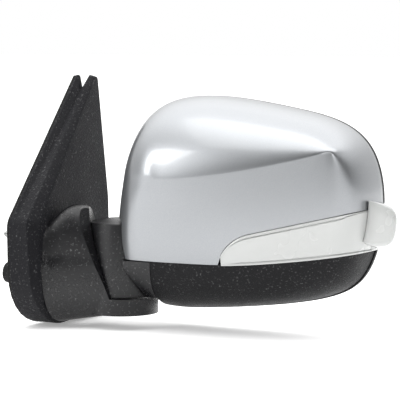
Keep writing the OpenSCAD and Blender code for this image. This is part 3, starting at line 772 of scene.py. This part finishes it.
def make_sail():
    """Outer face, bevel, notch and flange, then back along the inner side."""
    rings = [
        leaning(0, PANEL_CORNERS, 1.4 * MM),
        leaning(0.1 * MM, PANEL_CORNERS, 0.5 * MM),
        leaning(0.35 * MM, PANEL_CORNERS),
        bevel_ring(0.14),
        bevel_ring(0.5),
        bevel_ring(0.90),
        leaning(BEVEL_DEPTH - 0.1 * MM, SAIL_CORNERS, 0.3 * MM),
        leaning(BEVEL_DEPTH + 0.8 * MM, SAIL_CORNERS),
        upright(NOTCH_H, NOTCH_CORNERS, 0.2 * MM),
        upright(NOTCH_H - 0.6 * MM, NOTCH_CORNERS),
        upright(FLANGE_T, FLANGE_CORNERS, 0.2 * MM),
        upright(FLANGE_T - 0.5 * MM, FLANGE_CORNERS),
        upright(0.3 * MM, FLANGE_CORNERS),
        upright(0, FLANGE_CORNERS, 0.3 * MM),
        upright(0, FLANGE_CORNERS, SAIL_WALL),
        upright(6 * MM, NOTCH_CORNERS, SAIL_WALL),
        leaning(BEVEL_DEPTH + 1 * MM, SAIL_CORNERS, SAIL_WALL),
        leaning(SAIL_WALL, PANEL_CORNERS, SAIL_WALL),
    ]
    sail = loft("sail_skin", rings, "sail_plastic", sharp_angle=40)
    finish_piece(sail, "base", "sail_cover")


make_sail()

# ---- base: arm ----
PAD_TOP, PAD_DROP, BASE_DROP = NECK_FLOOR - 1 * MM, 45 * MM, 59 * MM
# The arm runs from its root on the sail to its tip at the pivot.
BARREL_REAR_Y, TIP_REAR_Y = 7.5 * MM, -4 * MM
ROOT_LOW_Z, TIP_LOW_Z = 5 * MM - BASE_DROP, -1 * MM - PAD_DROP
ARM_TOP_Z, ARM_TOP_SWELL, ARM_TOP_START, ARM_TOP_TURN = 40 * MM, 20 * MM, 20, 200
ARM_FRONT_Y, ARM_FRONT_BEND, ARM_REAR_BEND = SAIL_FRONT + BEVEL_W + 1 * MM, 0.7, 0.4
ARM_POWER, ARM_LAYERS, ARM_POINTS = 2.6, 70, 120
RIDGE_Z, RIDGE_DEPTH, RIDGE_H = 6 * MM, 2.5 * MM, 3 * MM
ARM_EDGE = 0.8 * MM
CUP_RIM_X, CUP_RIM_Z, CUP_RIM_LEAN, CUP_RIM_TURN = PIVOT_X - 12 * MM, 28 * MM, 68, -10
CUP_DROP, CUP_PAST_X, CUP_PAST_Y = 3 * MM, 16 * MM, 2 * MM
FAR = 400 * MM


def superellipse(half_width, half_height, angles):
    """Offsets from the centre of a rounded box, at angles around it."""
    c, s = np.cos(angles), np.sin(angles)
    bend = 2 / ARM_POWER
    return half_width * np.sign(c) * np.abs(c) ** bend, half_height * np.sign(s) * np.abs(s) ** bend


def arm_section(k):
    """Section at the share k of the way from the sail to the pivot, with a ridge along its front."""
    front = ARM_FRONT_Y + (PIVOT_Y - CUP_R - ARM_FRONT_Y) * k**ARM_FRONT_BEND
    rear = BARREL_REAR_Y + (TIP_REAR_Y - BARREL_REAR_Y) * k**ARM_REAR_BEND
    top = ARM_TOP_Z + ARM_TOP_SWELL * math.sin(math.radians(ARM_TOP_START + ARM_TOP_TURN * k))
    bottom = ROOT_LOW_Z + (TIP_LOW_Z - ROOT_LOW_Z) * k
    a = math.pi - 2 * math.pi * (np.arange(ARM_POINTS) + 0.5) / ARM_POINTS
    y, z = superellipse((rear - front) / 2, (top - bottom) / 2, a)
    y += (front + rear) / 2
    z += (top + bottom) / 2
    above = np.clip((z - RIDGE_Z) / RIDGE_H, 0, 1)
    y += RIDGE_DEPTH * (3 * above**2 - 2 * above**3) * np.maximum(-np.cos(a), 0) * (1 - k)
    return np.column_stack([panel_x(z) + (PIVOT_X - panel_x(z)) * k, y, z])


def beyond_cup_rim():
    """Everything outboard of the slanted plane in which the cup's rim lies."""
    place = Matrix.Translation((CUP_RIM_X, PIVOT_Y, CUP_RIM_Z))
    turn = Euler((0, math.radians(CUP_RIM_LEAN), math.radians(CUP_RIM_TURN))).to_matrix().to_4x4()
    return block("beyond_rim", (-FAR / 2, -FAR / 2, 0), (FAR / 2, FAR / 2, FAR), place @ turn)


def make_cup():
    """The front half of the ring around the neck, cut along its slanted rim."""
    cup = pivot_cylinder("cup", CUP_R, PAD_TOP, NECK_TOP - CUP_DROP)
    low = (PIVOT_X - FAR, PIVOT_Y - FAR, -FAR)
    high = (PIVOT_X + CUP_PAST_X, PIVOT_Y + CUP_PAST_Y, FAR)
    boolean(cup, block("front", low, high), "INTERSECT")
    boolean(cup, beyond_cup_rim(), "DIFFERENCE")
    return cup


def make_arm():
    arm = loft("arm_skin", [arm_section(k) for k in np.linspace(0, 1, ARM_LAYERS)], "satin_plastic")
    boolean(arm, beyond_cup_rim(), "DIFFERENCE")
    boolean(arm, make_cup(), "UNION")
    boolean(arm, pivot_cylinder("pad", CUP_R, -PAD_DROP, PAD_TOP), "UNION")
    boolean(arm, pivot_cylinder("barrel_room", NECK_R + CUP_GAP, PAD_TOP, FAR), "DIFFERENCE")
    boolean(arm, block("glass_room", (0, BARREL_REAR_Y, -FAR), (FAR, FAR, FAR)), "DIFFERENCE")
    round_edges(arm, ARM_EDGE)
    coat(arm, "satin_plastic")
    finish_piece(arm, "base", "base_arm")


make_arm()

# ---- glass ----
GLASS_CENTRE = np.array((JOINTS["glass_pan"]["pos_m"][0], JOINTS["glass_pan"]["pos_m"][2]))
GLASS_INSET, GLASS_BACK_Y, GLASS_T, GLASS_RADIUS = 12 * MM, 28 * MM, 2.2 * MM, 1.4
GLASS_LAYERS, GLASS_PINHOLE = 28, 0.02


def glass_bow(points):
    """How far the convex glass stands out over its edge, at points of the head's XZ plane."""
    return ((HEAD_W / 2) ** 2 - ((points - GLASS_CENTRE) ** 2).sum(-1)) / (2 * GLASS_RADIUS)


def make_glass():
    """Convex mirror plate with a ground edge."""
    edge = rim(np.arange(RIM_STEPS) / RIM_STEPS, GLASS_INSET)
    shares = np.linspace(GLASS_PINHOLE, 1, GLASS_LAYERS)
    front = [(v, 0.0) for v in shares]
    turn = [(1.0, GLASS_T - 0.5 * MM), (0.998, GLASS_T - 0.15 * MM), (0.994, GLASS_T)]
    rear = [(v, GLASS_T) for v in shares[::-1][1:]]
    rings = []
    for share, lift in front + turn + rear:
        q = GLASS_CENTRE + (edge - GLASS_CENTRE) * share
        rings.append(np.column_stack([q[:, 0], GLASS_BACK_Y + lift + glass_bow(q), q[:, 1]]))
    glass = loft("glass_plate", rings, "mirror_glass", sharp_angle=30)
    finish_piece(glass, "glass", "mirror_glass")


make_glass()

# ---- studs ----
REAR_STUDS, FRONT_STUD = MOUNTS["rear_studs"], MOUNTS["front_stud"]
STUD_R, STUD_LEN = FRONT_STUD["dims"]["r_mm"] * MM, FRONT_STUD["dims"]["length_mm"] * MM
STUD_HEAD_R, STUD_HEAD_H = 5 * MM, 8 * MM
THREAD_PITCH, THREAD_DEPTH, TIP_SHARE = 1 * MM, 0.45 * MM, 0.75
STUD_SIDES, TIP_LAYERS, PITCH_LAYERS = 36, 4, 8


def stud_rings():
    """Rings of one stud along X: rounded tip, helical thread, and the head in the bracket's boss."""
    a = np.arange(STUD_SIDES) * 2 * math.pi / STUD_SIDES
    tip = np.arange(TIP_LAYERS) / TIP_LAYERS * THREAD_PITCH
    thread = np.arange(THREAD_PITCH, STUD_LEN - THREAD_PITCH, THREAD_PITCH / PITCH_LAYERS)
    rings = []
    for d in np.concatenate([tip, thread]):
        wave = np.abs(((d / THREAD_PITCH - a / (2 * math.pi)) % 1.0) * 2 - 1)
        taper = TIP_SHARE + (1 - TIP_SHARE) * min(d / THREAD_PITCH, 1)
        rings.append((d - STUD_LEN, (STUD_R - THREAD_DEPTH * wave) * taper))
    for x, radius in ((-THREAD_PITCH, STUD_R), (0, STUD_R), (0, STUD_HEAD_R), (STUD_HEAD_H, STUD_HEAD_R)):
        rings.append((x, np.full(len(a), radius)))
    return [np.column_stack([np.full(len(a), x), r * np.cos(a), r * np.sin(a)]) for x, r in rings]


def stud_spots():
    """(y, z) of each stud, from the mounts of the frame."""
    _, y, z = REAR_STUDS["pos_m"]
    half = REAR_STUDS["dims"]["spacing_y_mm"] * MM / 2
    return [(y, z + half), (y, z - half), tuple(FRONT_STUD["pos_m"][1:])]


def make_studs():
    rings = stud_rings()
    joined = bmesh.new()
    for y, z in stud_spots():
        stud = loft("stud", [ring + (0, y, z) for ring in rings], "zinc_steel")
        joined.from_mesh(stud.data)
        bpy.data.objects.remove(stud)
    mesh = bpy.data.meshes.new("stud")
    joined.to_mesh(mesh)
    joined.free()
    shade(mesh, sharp_angle=50)
    studs = add_to_scene("stud", mesh)
    coat(studs, "zinc_steel")
    finish_piece(studs, "base", "mounting_studs")


make_studs()

# ---- CAD nodes with their edges rounded, in millimetres ----
EDGE_WIDTHS = {
    "neck_casting": 0.9, "neck_cap": 0.7, "base_gasket": 0.4, "wire_grommet": 0.6, "base_bracket": 0.5,
    "adjuster_housing": 0.6, "fold_motor": 0.8, "adjuster_motors": 0.6, "fold_gear_case": 0.5,
    "gimbal_ring": 0.4, "head_frame": 0.4, "pivot_post": 0.4,
}
MERGE_DISTANCE, FLAT_ANGLE = 0.001 * MM, 1


def soften(name, width):
    """Adds a copy of a CAD node, with its flat faces joined and its edges rounded."""
    source = frame["nodes"][name]
    mesh = source.data.copy()
    mesh.transform(source.matrix_world)
    bm = bmesh.new()
    bm.from_mesh(mesh)
    bmesh.ops.remove_doubles(bm, verts=bm.verts, dist=MERGE_DISTANCE)
    bmesh.ops.dissolve_limit(bm, angle_limit=math.radians(FLAT_ANGLE), verts=bm.verts, edges=bm.edges)
    bm.to_mesh(mesh)
    bm.free()
    piece = add_to_scene(name + "_piece", mesh)
    round_edges(piece, width)
    coat(piece, SLOTS[name])
    finish_piece(piece, body_of(source)[0], name)


for node_name, edge_width in EDGE_WIDTHS.items():
    soften(node_name, edge_width * MM)

# ---- CAD nodes that keep their own shape ----

def dress_cad_nodes():
    for name, obj in frame["nodes"].items():
        coat(obj, SLOTS[name])
        obj.data.set_sharp_from_angle(angle=math.radians(BAKED_SHARP_ANGLE))


dress_cad_nodes()

# ---- floor and light ----
FLOOR_SIZE, FLOOR_DROP, FLOOR_GLOW = 30, 2 * MM, 0.3
LIGHT_AIM = Vector((0.17, 0, 0.05))
BACKDROP_RISE = 0.35
FACING_RANGE, FACING_STRENGTH = (-0.4, 0.6), (0.16, 1.0)
CEILING_RANGE, CEILING_STRENGTH = (0.35, 0.8), (1.0, 2.6)
WHITE = (1, 1, 1, 1)


def make_floor():
    lowest = cad_box[0][2]
    bpy.ops.mesh.primitive_plane_add(size=FLOOR_SIZE, location=(0, 0, lowest - FLOOR_DROP))
    floor = bpy.context.object
    floor.name = "floor"
    glow = dict(Emission_Color=WHITE, Emission_Strength=FLOOR_GLOW)
    floor.data.materials.append(material("floor", (0.93, 0.93, 0.93), 0.9, **glow))


def area_light(name, azimuth, elevation, distance, size, power):
    data = bpy.data.lights.new(name, "AREA")
    data.shape = "RECTANGLE"
    data.size, data.size_y = size
    data.energy = power
    lamp = add_to_scene(name, data)
    back = direction(azimuth, elevation)
    lamp.location = LIGHT_AIM + distance * back
    lamp.rotation_euler = back.to_track_quat("Z", "Y").to_euler()


def make_world():
    """Studio that is white behind the object, dimmer in front of it, and brighter overhead."""
    world = bpy.data.worlds.new("studio")
    world.use_nodes = True
    background = world.node_tree.nodes["Background"]
    place = add_node(world, "ShaderNodeTexCoord")
    facing = add_node(world, "ShaderNodeVectorMath", operation="DOT_PRODUCT")
    ahead = direction(VIEW_AZIMUTH, 0)
    facing.inputs[1].default_value = (-ahead.x, -ahead.y, BACKDROP_RISE)
    link(world, place, "Generated", facing, 0)
    height = add_node(world, "ShaderNodeSeparateXYZ")
    link(world, place, "Generated", height, "Vector")
    backdrop = map_range(world, facing, "Value", FACING_RANGE, FACING_STRENGTH)
    ceiling = map_range(world, height, "Z", CEILING_RANGE, CEILING_STRENGTH)
    both = add_node(world, "ShaderNodeMath", operation="MULTIPLY")
    link(world, backdrop, "Result", both, 0)
    link(world, ceiling, "Result", both, 1)
    link(world, both, "Value", background, "Strength")
    background.inputs["Color"].default_value = WHITE
    bpy.context.scene.world = world


make_floor()
make_world()
area_light("top_light", azimuth=10, elevation=72, distance=1.6, size=(1.8, 1.2), power=13)
area_light("left_light", azimuth=-38, elevation=22, distance=1.8, size=(0.35, 1.1), power=10)
bpy.context.scene.view_settings.view_transform = "Standard"
